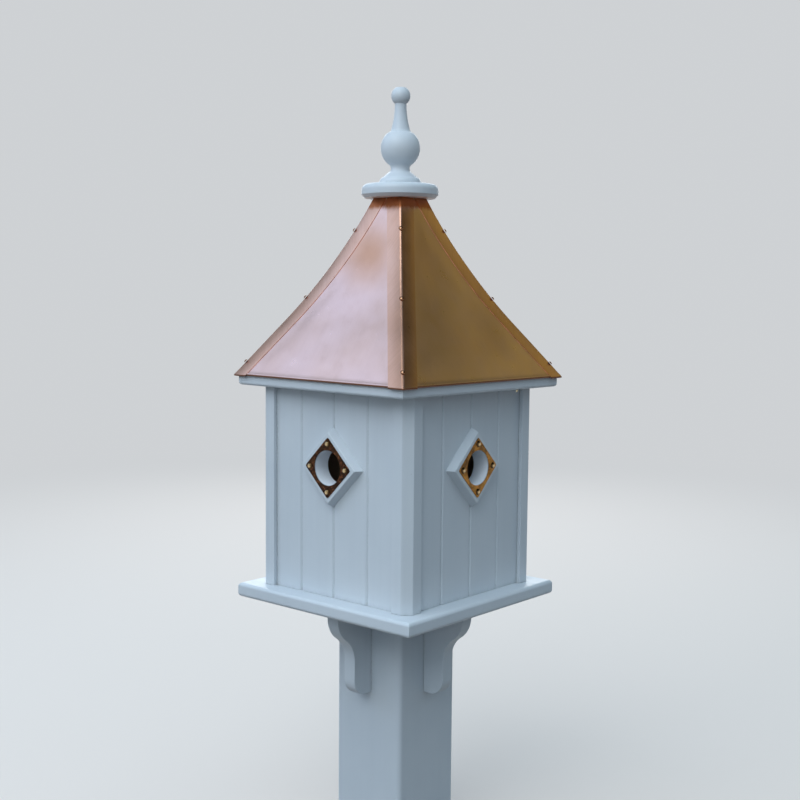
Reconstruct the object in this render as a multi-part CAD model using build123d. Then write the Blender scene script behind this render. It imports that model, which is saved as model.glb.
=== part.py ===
"""Multi-chamber birdhouse on a square post sleeve, in millimetres.

A square house of grooved walls between chamfered corner posts stands on a base board. Four
chambers meet at its axis, each behind a diamond-shaped entrance block with a metal guard
plate. A lift-off roof of four concave copper sheets on hip rafters carries a round cap and a
turned finial. Ogee brackets tie the base board to the sleeve that slips over a wooden post.
The origin is the centre of the sleeve's foot, and +Z points up.
"""
from build123d import *
import math
import os

# Board stock that the base, the eave and the brackets are cut from
board = 19

# Flat crown of a nail's or tack's tapered head, as a share of the head's radius
crown_share = 0.5

# Post sleeve
sleeve_side = 114
sleeve_wall = 4.5
sleeve_corner_radius = 6
sleeve_length = 330

# Base board
base_side = 305
base_edge_radius = 5

# House: chamfered corner posts with the walls set back between them
house_side = 262
house_height = 268.5
post_width = 26.5
post_chamfer = 10.5
post_groove_depth = 5
wall_setback = 6
wall_thickness = 12.5
joint_clearance = 0.15
v_groove_spacing = 58.3
v_groove_width = 4.5
divider_thickness = 9.5

# Entrances: a bevelled diamond block, its guard plate and four tacks on each wall
entrance_radius = 22.2
entrance_height = 170.5
block_side = 73.5
block_thickness = 11
block_bevel_angle = 21
plate_side = 56
plate_corner_radius = 2
plate_thickness = 0.8
plate_hole_margin = 0.5
tack_circle_radius = 31
tack_head_radius = 3.7
tack_head_height = 2.5
tack_shank_side = 1.6
tack_shank_length = 9

# Roof: the eave board is the foot of a concave square pyramid
eave_side = 303.5
eave_edge_radius = 4
roof_turn = -2.6
eave_slope = 56.3
straight_rise = 62.5
curve_radius = 818
roof_top_reach = 24.2
copper = 0.7
panel_drop = 6
panel_top_gap = 2.5
hem_height = 3.2
cap_leg = 25
hip_cap_drop = 7.2
trim_margin = 5
rafter_thickness = 19
rafter_foot_inner = 150
rafter_head_inner = 24
top_block_height = 38
cleat_section = 12.5
cleat_length = 120
cleat_clearance = 4
cleat_chamfer = 2

# Nails along each hip, by their share of the roof's height
nail_shares = (0.056, 0.43, 0.818)
nail_head_radius = 3
nail_head_height = 2.2
nail_shank_side = 2
nail_shank_length = 14
nail_clearance = 0.1

# Round cap and the dowel that joins it and the finial to the roof
cap_radius = 51.2
cap_thickness = 18.5
cap_top_round = 8
cap_bevel = 4.5
dowel_radius = 4
dowel_clearance = 0.15
dowel_reach = 30
dowel_chamfer = 0.8

# Turned finial, by the radius and height of each turn up its axis
foot_radius = 27.5
foot_height = 3
foot_round = 7.5
step_radius = 22.9
step_height = 9.1
cove_radius = 16.3
cove_height = 14.8
neck_radius = 12.6
neck_height = 21
flare_height = 25.5
ball_radius = 26.2
ball_height = 47.2
shoulder_height = 66.8
spire_foot_radius = 13.2
spire_foot_height = 69.3
spire_waist_radius = 9.3
spire_waist_height = 85.5
spire_head_radius = 7.7
knob_radius = 12.7
knob_height = 115.4
finial_height = 126.2

# Brackets; the front one stands a little to the left of the middle
bracket_reach = 65.5
bracket_nose = 10
bracket_stem = 33
bracket_curve_height = 62
bracket_height = 121
bracket_toe_radius = 22
front_bracket_shift = -3.5

# Small screws just under the eave
screw_drop = 5
screw_head_radius = 2.2
screw_head_height = 1.4
screw_shank_side = 2
screw_shank_length = 16
post_screw_inset = 13
wall_screw_place = 99

# Heights and places worked out from the sizes above
slope = math.radians(eave_slope)
curve_centre_reach = eave_side / 2 - straight_rise / math.tan(slope) + curve_radius * math.sin(slope)
curve_centre_height = straight_rise + curve_radius * math.cos(slope)
roof_rise = curve_centre_height - math.sqrt(curve_radius**2 - (curve_centre_reach - roof_top_reach) ** 2)
base_top = sleeve_length + board
house_top = base_top + house_height
eave_top = house_top + board
cap_seat = eave_top + roof_rise
finial_seat = cap_seat + cap_thickness
house_half = house_side / 2
wall_face = house_half - wall_setback
wall_back = wall_face - wall_thickness
post_inner = house_half - post_width
block_face = wall_face + block_thickness
plate_face = block_face + plate_thickness

SIDES = ("front", "right", "back", "left")
CORNERS = ("front_right", "back_right", "back_left", "front_left")
BOTTOM = (Align.CENTER, Align.CENTER, Align.MIN)


def write(shape, name):
    """Writes one sub-part under its node's name."""
    export_step(shape, f"parts/{name}.step")


def write_four(shape, stem, names):
    """Writes the shape four times, a quarter turn apart about the axis."""
    for quarter, name in enumerate(names):
        write(Rot(0, 0, 90 * quarter) * shape, f"{stem}_{name}")


def turned(shape):
    """The roof sits a little askew on the house."""
    return Rot(0, 0, roof_turn) * shape


def round_nail(head_radius, head_height, shank_side, shank_length):
    """A nail along Z with a tapered round head and a square shank, seated at the origin, point down."""
    head = Cone(head_radius, crown_share * head_radius, head_height, align=BOTTOM)
    top = (Align.CENTER, Align.CENTER, Align.MAX)
    return head + Pos(0, 0, joint_clearance) * Box(
        shank_side, shank_side, shank_length + joint_clearance, align=top
    )


def nail_hole(shank_side, depth):
    """A cutter along Z for a nail's shank, this deep to either side of the origin."""
    hole_side = shank_side + 2 * nail_clearance
    return Box(hole_side, hole_side, 2 * depth)


# Sleeve, base board and brackets


def post_sleeve():
    outer = RectangleRounded(sleeve_side, sleeve_side, sleeve_corner_radius)
    inside = sleeve_side - 2 * sleeve_wall
    inner = RectangleRounded(inside, inside, sleeve_corner_radius - sleeve_wall)
    return extrude(outer - inner, amount=sleeve_length)


def base_board():
    plank = Pos(0, 0, sleeve_length) * Box(base_side, base_side, board, align=BOTTOM)
    return fillet(plank.edges().filter_by(Axis.Z, reverse=True), base_edge_radius)


def bracket():
    """An ogee bracket on the sleeve's front face, under the base board."""
    step = bracket_reach - bracket_stem
    radius = (step**2 + bracket_curve_height**2) / (4 * step)
    sweep = math.asin(bracket_curve_height / (2 * radius)) / 2
    nose = (bracket_reach, -bracket_nose)
    waist = (bracket_stem, -bracket_nose - bracket_curve_height)
    middle = ((nose[0] + waist[0]) / 2, (nose[1] + waist[1]) / 2)
    bulge = radius * (1 - math.cos(sweep))
    drop = radius * math.sin(sweep)
    toe = (bracket_stem - bracket_toe_radius, -bracket_height)
    outline = Polyline((0, -bracket_height), (0, 0), (bracket_reach, 0), nose)
    outline += ThreePointArc(nose, (nose[0] - bulge, nose[1] - drop), middle)
    outline += ThreePointArc(middle, (waist[0] + bulge, waist[1] + drop), waist)
    outline += Line(waist, (bracket_stem, bracket_toe_radius - bracket_height))
    outline += RadiusArc((bracket_stem, bracket_toe_radius - bracket_height), toe, bracket_toe_radius)
    outline += Line(toe, (0, -bracket_height))
    plate = extrude(make_face(Plane.XZ * outline), amount=board / 2, both=True)
    return Pos(0, -sleeve_side / 2, sleeve_length) * Rot(0, 0, -90) * plate


# House


def wall():
    """The front wall: a board with V grooves and a round entrance, its edges in the posts."""
    width = 2 * (post_inner + post_groove_depth - joint_clearance)
    middle = -(wall_face + wall_back) / 2
    panel = Pos(0, middle, base_top) * Box(width, wall_thickness, house_height, align=BOTTOM)
    cutter_side = v_groove_width / math.sqrt(2)
    for place in (-1, 0, 1):
        cutter = Rot(0, 0, 45) * Box(cutter_side, cutter_side, house_height, align=BOTTOM)
        panel -= Pos(place * v_groove_spacing, -wall_face, base_top) * cutter
    panel -= Pos(0, middle, base_top + entrance_height) * Rot(90, 0, 0) * Cylinder(
        entrance_radius, 2 * wall_thickness
    )
    return panel


def corner_post():
    """The front right corner post, grooved for the edges of two walls."""
    centre = house_half - post_width / 2
    section = Pos(centre, -centre) * Rectangle(post_width, post_width)
    outer_corner = max(section.vertices(), key=lambda vertex: vertex.X - vertex.Y)
    section = chamfer(outer_corner, post_chamfer)
    middle = (wall_face + wall_back) / 2
    groove_width = wall_thickness + 2 * joint_clearance
    groove_middle = post_inner + post_groove_depth / 2
    section -= Pos(groove_middle, -middle) * Rectangle(post_groove_depth, groove_width)
    section -= Pos(middle, -groove_middle) * Rectangle(groove_width, post_groove_depth)
    return Pos(0, 0, base_top) * extrude(section, amount=house_height)


def divider(slot_from_top):
    """A board from corner to corner, notched over the posts and halved over the other one."""
    reach = math.sqrt(2) * (post_inner - joint_clearance)
    plank = Box(2 * reach + divider_thickness, divider_thickness, house_height, align=BOTTOM)
    notch = Rot(0, 0, -45) * Box(post_width, post_width, house_height, align=Align.MIN)
    for end in (0, 180):
        plank -= Rot(0, 0, end) * Pos(reach, 0, 0) * notch
    slot_width = divider_thickness + 2 * joint_clearance
    slot = Box(slot_width, divider_thickness, house_height / 2, align=BOTTOM)
    plank -= Pos(0, 0, house_height / 2 if slot_from_top else 0) * slot
    return Pos(0, 0, base_top) * Rot(0, 0, 45 if slot_from_top else -45) * plank


# Entrances, made on the front wall


def on_entrance(shape, distance):
    """Turns a shape made along +Z to face out of the front wall at the entrance's centre."""
    return Pos(0, -distance, base_top + entrance_height) * Rot(90, 0, 0) * shape


def tack_places():
    return [Rot(0, 0, 90 * n) * Pos(tack_circle_radius, 0, 0) for n in range(4)]


def entrance_block():
    diamond = Rot(0, 0, 45) * Rectangle(block_side, block_side)
    block = extrude(diamond, block_thickness, taper=block_bevel_angle)
    block -= Cylinder(entrance_radius, 4 * block_thickness)
    for place in tack_places():
        block -= place * nail_hole(tack_shank_side, 2 * block_thickness)
    return on_entrance(block, wall_face)


def entrance_plate():
    sheet = Rot(0, 0, 45) * RectangleRounded(plate_side, plate_side, plate_corner_radius)
    sheet -= Circle(entrance_radius + plate_hole_margin)
    plate = extrude(sheet, amount=plate_thickness)
    for place in tack_places():
        plate -= place * nail_hole(tack_shank_side, 2 * plate_thickness)
    return on_entrance(plate, block_face)


def entrance_tacks():
    tack = round_nail(tack_head_radius, tack_head_height, tack_shank_side, tack_shank_length)
    return on_entrance(Compound([place * tack for place in tack_places()]), plate_face)


# Roof, made square to the house and turned at the end; heights run from the eave board's top


def roof_reach(height, offset=0.0):
    """Half the roof's width at a height, for a skin that lies this far out from the wood."""
    if height <= straight_rise + offset * math.cos(slope):
        return eave_side / 2 + offset / math.sin(slope) - height / math.tan(slope)
    radius = curve_radius - offset
    return curve_centre_reach - math.sqrt(radius**2 - (curve_centre_height - height) ** 2)


def roof_curve(low, high, offset=0.0, inset=0.0):
    """The roof's outline in section: straight at the eave, then curving up to the cap."""
    bend = straight_rise + offset * math.cos(slope)
    points = [(roof_reach(z, offset) - inset, z) for z in (low, bend, (bend + high) / 2, high)]
    return Line(points[0], points[1]) + ThreePointArc(*points[1:])


def roof_prism(low, high, offset=0.0, inset=0.0):
    """The roof's section, closed at its axis and run along Y."""
    side = roof_curve(low, high, offset, inset)
    ends = [(roof_reach(z, offset) - inset, z) for z in (low, high)]
    outline = side + mirror(side, Plane.YZ)
    outline += Line(ends[0], (-ends[0][0], low))
    outline += Line(ends[1], (-ends[1][0], high))
    return extrude(make_face(Plane.XZ * outline), amount=eave_side, both=True)


def roof_form(low, high, offset=0.0):
    """A square pyramid with concave sides."""
    prism = roof_prism(low, high, offset)
    return prism & (Rot(0, 0, 90) * prism)


def hip_nail_places():
    """Places on the front right hip, each with +Z square to the hip and pointing out."""
    places = []
    for share in nail_shares:
        height = share * roof_rise
        seat = math.sqrt(2) * roof_reach(height, 2 * copper)
        above = math.sqrt(2) * roof_reach(height + nail_head_radius, 2 * copper)
        tilt = math.degrees(math.atan2(nail_head_radius, seat - above))
        places.append(Rot(0, 0, -45) * Pos(seat, 0, height) * Rot(0, tilt, 0))
    return places


def drill_hip(shape):
    """Drills the nail holes of both hips that a roof piece may touch."""
    for hip in (0, -90):
        for place in hip_nail_places():
            shape -= Rot(0, 0, hip) * place * nail_hole(nail_shank_side, nail_shank_length + nail_clearance)
    return shape


def on_roof(shape):
    return turned(Pos(0, 0, eave_top) * shape)


def eave_board():
    plank = Pos(0, 0, house_top) * Box(eave_side, eave_side, board, align=BOTTOM)
    under = plank.faces().sort_by(Axis.Z)[0].edges()
    return turned(fillet(under, eave_edge_radius))


def roof_cleat():
    """A strip under the eave board that keeps the roof over the front wall."""
    place = Pos(0, cleat_clearance - wall_back, house_top)
    strip = Box(cleat_length, cleat_section, cleat_section, align=(Align.CENTER, Align.MIN, Align.MAX))
    low_edges = strip.edges().filter_by(Axis.X).sort_by(Axis.Z)[:2]
    return turned(place * chamfer(low_edges, cleat_chamfer))


def hip_rafter(wood):
    """The front right rafter, cut to the roof's form so that the copper lies on it."""
    head = roof_rise - top_block_height
    side = Polyline(
        (rafter_foot_inner, 0), (eave_side, 0), (eave_side, head), (rafter_head_inner, head), close=True
    )
    plank = extrude(make_face(Plane.XZ * side), amount=rafter_thickness / 2, both=True)
    return on_roof(drill_hip((Rot(0, 0, -45) * plank) & wood))


def top_block(wood):
    bottom = roof_rise - top_block_height
    block = wood & (Pos(0, 0, bottom) * Box(eave_side, eave_side, top_block_height, align=BOTTOM))
    hole = Cylinder(dowel_radius + dowel_clearance, 2 * dowel_reach)
    return on_roof(block - Pos(0, 0, roof_rise) * hole)


def roof_panel():
    """The front copper sheet: a curved strip with a hemmed foot, cut along both hips."""
    low = -panel_drop
    high = roof_rise - panel_top_gap
    outer = roof_curve(low, high, copper)
    inner = roof_curve(low, high)
    outline = outer + inner
    for z in (low, high):
        outline += Line((roof_reach(z), z), (roof_reach(z, copper), z))
    hem_top = low + hem_height
    hem = Polyline(
        (roof_reach(low, -copper), low),
        (roof_reach(low), low),
        (roof_reach(hem_top), hem_top),
        (roof_reach(hem_top, -copper), hem_top),
        close=True,
    )
    section = make_face(Plane.XZ * outline) + make_face(Plane.XZ * hem)
    strip = Rot(0, 0, -90) * extrude(section, amount=eave_side, both=True)
    between_hips = Polyline((0, 0), (eave_side, -eave_side), (-eave_side, -eave_side), close=True)
    wedge = extrude(make_face(between_hips), amount=2 * roof_rise, both=True)
    return on_roof(drill_hip(strip & wedge))


def hip_cap():
    """The front right hip's cap: a copper angle that follows the hip over both sheets."""
    low = -hip_cap_drop
    high = roof_rise
    shell = roof_form(low, high, 2 * copper)
    shell -= roof_form(low - trim_margin, high + trim_margin, copper)
    between = roof_prism(low - trim_margin, high, 2 * copper, cap_leg)
    shell -= between
    shell -= Rot(0, 0, 90) * between
    corner = Box(eave_side, eave_side, 4 * roof_rise, align=(Align.MIN, Align.MAX, Align.CENTER))
    return on_roof(drill_hip(shell & corner))


def hip_nails():
    nail = round_nail(nail_head_radius, nail_head_height, nail_shank_side, nail_shank_length)
    return on_roof(Compound([place * nail for place in hip_nail_places()]))


# Cap and finial


def round_cap():
    disc = Pos(0, 0, cap_seat) * Cylinder(cap_radius, cap_thickness, align=BOTTOM)
    top = disc.edges().filter_by(GeomType.CIRCLE).sort_by(Axis.Z)[-1]
    disc = fillet(top, cap_top_round)
    bottom = disc.edges().filter_by(GeomType.CIRCLE).sort_by(Axis.Z)[0]
    disc = chamfer(bottom, cap_bevel)
    return disc - Pos(0, 0, cap_seat) * Cylinder(dowel_radius + dowel_clearance, 4 * cap_thickness)


def finial():
    """A turned finial: stepped foot, cove, neck, ball, tapering spire and flat-topped knob."""
    cove = (cove_radius, cove_height)
    flare = (math.sqrt(ball_radius**2 - (ball_height - flare_height) ** 2), flare_height)
    shoulder = (math.sqrt(ball_radius**2 - (shoulder_height - ball_height) ** 2), shoulder_height)
    spire_foot = (spire_foot_radius, spire_foot_height)
    spire_head = (spire_head_radius, knob_height - math.sqrt(knob_radius**2 - spire_head_radius**2))
    crown = (math.sqrt(knob_radius**2 - (finial_height - knob_height) ** 2), finial_height)
    foot = (foot_radius, foot_height)
    step = (step_radius, step_height)
    outline = Polyline((0, 0), (foot_radius, 0), foot)
    outline += RadiusArc(foot, step, -foot_round)
    outline += Line(step, cove)
    outline += ThreePointArc(cove, (neck_radius, neck_height), flare)
    outline += ThreePointArc(flare, (ball_radius, ball_height), shoulder)
    outline += Line(shoulder, spire_foot)
    outline += ThreePointArc(spire_foot, (spire_waist_radius, spire_waist_height), spire_head)
    outline += ThreePointArc(spire_head, (knob_radius, knob_height), crown)
    outline += Polyline(crown, (0, finial_height), (0, 0))
    body = revolve(make_face(Plane.XZ * outline), Axis.Z)
    body -= Cylinder(dowel_radius + dowel_clearance, 2 * (dowel_reach + dowel_clearance))
    return turned(Pos(0, 0, finial_seat) * body)


def finial_dowel():
    length = cap_thickness + 2 * dowel_reach - 2 * dowel_clearance
    rod = Cylinder(dowel_radius, length, align=BOTTOM)
    rod = chamfer(rod.edges().filter_by(GeomType.CIRCLE), dowel_chamfer)
    return Pos(0, 0, cap_seat - dowel_reach + dowel_clearance) * rod


# Screws under the eave


def screw_places():
    """One in the left side of the front left post, one through the right wall's back edge."""
    height = house_top - screw_drop
    left = Pos(-house_half, -(house_half - post_screw_inset), height) * Rot(0, -90, 0)
    right = Pos(wall_face, wall_screw_place, height) * Rot(0, 90, 0)
    return left, right


def drill_screws(shape):
    for place in screw_places():
        shape -= place * nail_hole(screw_shank_side, screw_shank_length + nail_clearance)
    return shape


def small_screws():
    screw = round_nail(screw_head_radius, screw_head_height, screw_shank_side, screw_shank_length)
    return Compound([place * screw for place in screw_places()])


os.makedirs("parts", exist_ok=True)

write(post_sleeve(), "post_sleeve")
write(base_board(), "base_board")
for quarter, name in enumerate(SIDES):
    shift = front_bracket_shift if name == "front" else 0
    write(Rot(0, 0, 90 * quarter) * Pos(shift, 0, 0) * bracket(), f"bracket_{name}")

for quarter, name in enumerate(SIDES):
    write(drill_screws(Rot(0, 0, 90 * quarter) * wall()), f"wall_{name}")
for quarter, name in enumerate(CORNERS):
    write(drill_screws(Rot(0, 0, 90 * quarter) * corner_post()), f"corner_post_{name}")
write(divider(True), "divider_upper_slot")
write(divider(False), "divider_lower_slot")
write(small_screws(), "eave_screws")

write_four(entrance_block(), "entrance_block", SIDES)
write_four(entrance_plate(), "entrance_plate", SIDES)
write_four(entrance_tacks(), "entrance_tacks", SIDES)

roof_wood = roof_form(0, roof_rise)
write(eave_board(), "eave_board")
write_four(roof_cleat(), "roof_cleat", SIDES)
write_four(hip_rafter(roof_wood), "hip_rafter", CORNERS)
write(top_block(roof_wood), "top_block")
write_four(roof_panel(), "roof_panel", SIDES)
write_four(hip_cap(), "hip_cap", CORNERS)
write_four(hip_nails(), "hip_nails", CORNERS)

write(round_cap(), "round_cap")
write(finial(), "finial")
write(finial_dowel(), "finial_dowel")
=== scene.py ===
import math

import bmesh
import bpy
from mathutils import Matrix, Vector


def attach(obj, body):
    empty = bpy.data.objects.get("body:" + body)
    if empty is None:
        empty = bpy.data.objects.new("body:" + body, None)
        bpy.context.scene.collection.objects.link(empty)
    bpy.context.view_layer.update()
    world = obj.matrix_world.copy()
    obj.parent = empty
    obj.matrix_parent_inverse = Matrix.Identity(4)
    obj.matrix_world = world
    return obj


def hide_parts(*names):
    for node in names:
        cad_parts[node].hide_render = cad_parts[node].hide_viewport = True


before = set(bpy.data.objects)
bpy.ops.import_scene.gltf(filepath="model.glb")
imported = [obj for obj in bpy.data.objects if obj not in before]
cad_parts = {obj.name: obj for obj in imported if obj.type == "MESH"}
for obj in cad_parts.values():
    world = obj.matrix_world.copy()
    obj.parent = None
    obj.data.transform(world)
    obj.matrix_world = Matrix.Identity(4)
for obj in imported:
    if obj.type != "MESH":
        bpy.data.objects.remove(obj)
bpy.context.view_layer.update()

MM = 0.001
SIDES = ("front", "right", "back", "left")
CORNERS = ("front_right", "back_right", "back_left", "front_left")

# Sizes of the house, in millimetres, as the solids have them
BASE_TOP = 349.0
WALL_FACE = 125.0
ENTRANCE_RADIUS = 22.2
ENTRANCE_HEIGHT = BASE_TOP + 170.5
BLOCK_THICKNESS = 11.0
BLOCK_SIDE = 73.5
BLOCK_BEVEL = math.radians(21)
PLATE_SIDE = 56.0
PLATE_CORNER = 2.0
PLATE_THICKNESS = 0.8
PLATE_HOLE_MARGIN = 0.5
TACK_CIRCLE = 31.0
TACK_HEAD = (4.2, 2.6)
NAIL_HEAD = (3.0, 1.7)
NAIL_SHARES = (0.056, 0.43, 0.818)

# The roof, in millimetres
EAVE_TOP = 636.5
EAVE_HALF = 151.75
ROOF_TURN = math.radians(-2.6)
SLOPE = math.radians(56.3)
STRAIGHT_RISE = 62.5
CURVE_RADIUS = 818.0
TOP_REACH = 24.2
COPPER = 0.7
PANEL_DROP = 6.0
PANEL_TOP_GAP = 2.5
HEM_HEIGHT = 3.2
CAP_LEG = 25.0
CAP_DROP = 7.2
FOLD = 2.2
BEND = 2.6
LEG_ROLL = math.radians(8)
CENTRE_REACH = EAVE_HALF - STRAIGHT_RISE / math.tan(SLOPE) + CURVE_RADIUS * math.sin(SLOPE)
CENTRE_HEIGHT = STRAIGHT_RISE + CURVE_RADIUS * math.cos(SLOPE)
ROOF_RISE = CENTRE_HEIGHT - math.sqrt(CURVE_RADIUS**2 - (CENTRE_REACH - TOP_REACH) ** 2)
CAP_SEAT = EAVE_TOP + ROOF_RISE
CAP_THICKNESS = 18.5
CAP_RADIUS = 51.2
CAP_TOP_ROUND = 8.0
CAP_BEVEL = 4.5


def quarter_turn(quarter, turn=0.0):
    """A turn about the upright axis by so many quarters, and a little more."""
    return Matrix.Rotation(quarter * math.pi / 2 + turn, 4, "Z")


# Mesh making

SAME_POINT = 2e-6  # metres
FLAT_WITHIN = math.radians(0.3)
ROUNDED_FROM = math.radians(30)
SHARP_FROM = math.radians(40)
FLAT_WEIGHT = 80
BORE_WITHIN = 0.06  # millimetres


def add_piece(name, nodes, mesh, material, matrix=None):
    """Links a finished mesh, given in metres, under the root body, and hides the CAD nodes it
    stands in for.
    """
    if matrix is not None:
        mesh.transform(matrix)
    mesh.name = name
    mesh.materials.clear()
    mesh.materials.append(material)
    piece = bpy.data.objects.new(name, mesh)
    bpy.context.scene.collection.objects.link(piece)
    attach(piece, "root")
    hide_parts(*nodes)
    return piece


def mesh_from(points, faces):
    """A smooth mesh from points in millimetres."""
    mesh = bpy.data.meshes.new("made")
    mesh.from_pydata([tuple(c * MM for c in p) for p in points], [], faces)
    mesh.validate()
    for polygon in mesh.polygons:
        polygon.use_smooth = True
    mesh.update()
    return mesh


def weighted(piece):
    """Keeps flat faces flat where small rounded edges join them."""
    modifier = piece.modifiers.new("flat_faces", "WEIGHTED_NORMAL")
    modifier.keep_sharp = True
    modifier.weight = FLAT_WEIGHT


def away_from_entrances(edge):
    """Whether an edge lies clear of the round entrances."""
    middle = (edge.verts[0].co + edge.verts[1].co) / 2 / MM
    across = min(abs(middle.x), abs(middle.y))
    return math.hypot(across, middle.z - ENTRANCE_HEIGHT) > ENTRANCE_RADIUS + 1


def softened(node, material, width, segments=2):
    """A CAD node's shape with its outer edges rounded a little, as sanding and paint leave them."""
    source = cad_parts[node]
    made = bmesh.new()
    made.from_mesh(source.data)
    bmesh.ops.remove_doubles(made, verts=made.verts, dist=SAME_POINT)
    bmesh.ops.dissolve_limit(
        made, angle_limit=FLAT_WITHIN, verts=made.verts, edges=made.edges,
        use_dissolve_boundaries=False,
    )
    bmesh.ops.recalc_face_normals(made, faces=made.faces)
    corners = [e for e in made.edges if e.is_manifold and e.is_convex and away_from_entrances(e)]
    outer = [e for e in corners if e.calc_face_angle(0.0) > ROUNDED_FROM]
    bmesh.ops.bevel(
        made, geom=outer, offset=width * MM, offset_type="OFFSET", segments=segments,
        profile=0.5, affect="EDGES", clamp_overlap=True,
    )
    for face in made.faces:
        face.smooth = True
    for edge in made.edges:
        edge.smooth = not (edge.is_manifold and edge.calc_face_angle(0.0) > SHARP_FROM)
    mesh = bpy.data.meshes.new(node)
    made.to_mesh(mesh)
    made.free()
    piece = add_piece("soft_" + node, [node], mesh, material)
    weighted(piece)
    return piece


def lathe(profile, segments):
    """Points and faces of a closed turned shape; the profile runs from axis to axis."""
    points, faces, rings = [], [], []
    for radius, height in profile:
        if radius < 1e-6:
            rings.append([len(points)])
            points.append((0.0, 0.0, height))
        else:
            rings.append(list(range(len(points), len(points) + segments)))
            for n in range(segments):
                a = 2 * math.pi * n / segments
                points.append((radius * math.cos(a), radius * math.sin(a), height))
    for low, high in zip(rings, rings[1:]):
        for n in range(segments):
            m = (n + 1) % segments
            ring = [low[n % len(low)], low[m % len(low)], high[m % len(high)], high[n % len(high)]]
            face = list(dict.fromkeys(ring))
            if len(face) > 2:
                faces.append(face)
    return points, faces


def arc(start, through, end, count):
    """Points on the circle through three points, the first one left out."""
    (ax, ay), (bx, by), (cx, cy) = start, through, end
    d = 2 * (ax * (by - cy) + bx * (cy - ay) + cx * (ay - by))
    aa, bb, cc = ax**2 + ay**2, bx**2 + by**2, cx**2 + cy**2
    ux = (aa * (by - cy) + bb * (cy - ay) + cc * (ay - by)) / d
    uy = (aa * (cx - bx) + bb * (ax - cx) + cc * (bx - ax)) / d
    radius = math.hypot(ax - ux, ay - uy)
    angles = [math.atan2(y - uy, x - ux) for x, y in (start, through, end)]
    sweep = (angles[2] - angles[0]) % (2 * math.pi)
    if (angles[1] - angles[0]) % (2 * math.pi) > sweep:
        sweep -= 2 * math.pi
    turns = [angles[0] + sweep * n / count for n in range(1, count + 1)]
    return [(ux + radius * math.cos(a), uy + radius * math.sin(a)) for a in turns]


def eased(corner, before, after, radius, count=3):
    """A corner of a profile, rounded a little."""
    corner, before, after = Vector(corner), Vector(before), Vector(after)
    one, two = (before - corner).normalized(), (after - corner).normalized()
    half = one.angle(two) / 2
    setback = radius / math.tan(half)
    centre = corner + (one + two).normalized() * (radius / math.sin(half))
    first, last = corner + one * setback, corner + two * setback
    middle = centre + (corner - centre).normalized() * radius
    return [tuple(first)] + arc(tuple(first), tuple(middle), tuple(last), 2 * count)


def dome_profile(head):
    """A domed head, given as (radius, height), seated at height 0, with a thin rim."""
    radius, height = head
    collar, steps = 0.25, 10
    sphere = (radius**2 + (height - collar) ** 2) / (2 * (height - collar))
    sweep = math.asin(radius / sphere)
    profile = [(0.0, 0.0), (radius - 0.15, 0.0), (radius, 0.12), (radius, collar)]
    for n in range(1, steps + 1):
        a = sweep * (1 - n / steps)
        profile.append((sphere * math.sin(a), height - sphere * (1 - math.cos(a))))
    profile[-1] = (0.0, height)
    return profile


def roof_reach(height, offset):
    """Half the roof's width at a height above the eave board, this far out from the wood."""
    if height <= STRAIGHT_RISE + offset * math.cos(SLOPE):
        return EAVE_HALF + offset / math.sin(SLOPE) - height / math.tan(SLOPE)
    radius = CURVE_RADIUS - offset
    return CENTRE_REACH - math.sqrt(radius**2 - (CENTRE_HEIGHT - height) ** 2)


def sharp_folds(mesh, degrees):
    """Marks edges sharper than this, so that a sheet's cut edges stay crisp."""
    made = bmesh.new()
    made.from_mesh(mesh)
    bmesh.ops.recalc_face_normals(made, faces=made.faces)
    for edge in made.edges:
        edge.smooth = not (edge.is_manifold and edge.calc_face_angle(0.0) > math.radians(degrees))
    made.to_mesh(mesh)
    made.free()
    return mesh


def store_vectors(mesh, name, vectors):
    """Stores one vector for each point, which the mesh's material reads by this name."""
    attribute = mesh.attributes.new(name, "FLOAT_VECTOR", "POINT")
    attribute.data.foreach_set("vector", [c for v in vectors for c in v])


def mark_bore(mesh, across):
    """Marks the faces inside an entrance, where the paint is made paler as painted light.

    The entrance's width lies along x where across is 0, and along y where it is 1.
    """
    shares = []
    for polygon in mesh.polygons:
        points = [mesh.vertices[v].co / MM for v in polygon.vertices]
        radii = [math.hypot(p[across], p.z - ENTRANCE_HEIGHT) for p in points]
        shares.append(float(max(abs(r - ENTRANCE_RADIUS) for r in radii) < BORE_WITHIN))
    mesh.attributes.new("bore", "FLOAT", "FACE").data.foreach_set("value", shares)


# Materials

PAINT_DULL = (0.610, 0.652, 0.695, 1)
PAINT_FRESH = (0.658, 0.694, 0.730, 1)
PAINT_GRAIN = (0.560, 0.598, 0.636, 1)
PAINT_BORE_PAINTED_LIGHT = (0.86, 0.88, 0.92, 1)
PAINT_GRIME_AND_SHADE = (0.30, 0.32, 0.30, 1)
PAINT_SPECK = (0.16, 0.15, 0.13, 1)
COPPER_CAP_SHADOW = (0.46, 0.145, 0.045, 1)
COPPER_SEAM_SHADE = (0.20, 0.085, 0.04, 1)
COPPER_HEM_SHADE = (0.17, 0.075, 0.045, 1)
WARM_REFLECTION_TINT = (0.81, 0.62, 0.43)
SHADED_TINT = (0.22, 0.20, 0.17)
LINE_TINT = (0.80, 0.80, 0.80)
HEM_BLUR = 0.35  # millimetres


def tinted(colour, tint):
    """A colour with its red, green and blue taken down by a factor each."""
    return tuple(c * t for c, t in zip(colour, tint)) + (1,)


def link(tree, value, socket):
    """Feeds an input from another node or with a plain value, and leaves it alone for None."""
    if isinstance(value, bpy.types.NodeSocket):
        tree.links.new(value, socket)
    elif value is not None:
        socket.default_value = value


def node(tree, kind, inputs=(), out=0, **settings):
    """Adds a node, fills its inputs by name or number, and returns one of its outputs."""
    made = tree.nodes.new("ShaderNode" + kind)
    for name, value in settings.items():
        setattr(made, name, value)
    for key, value in dict(inputs).items():
        link(tree, value, made.inputs[key])
    return made.outputs[out]


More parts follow.
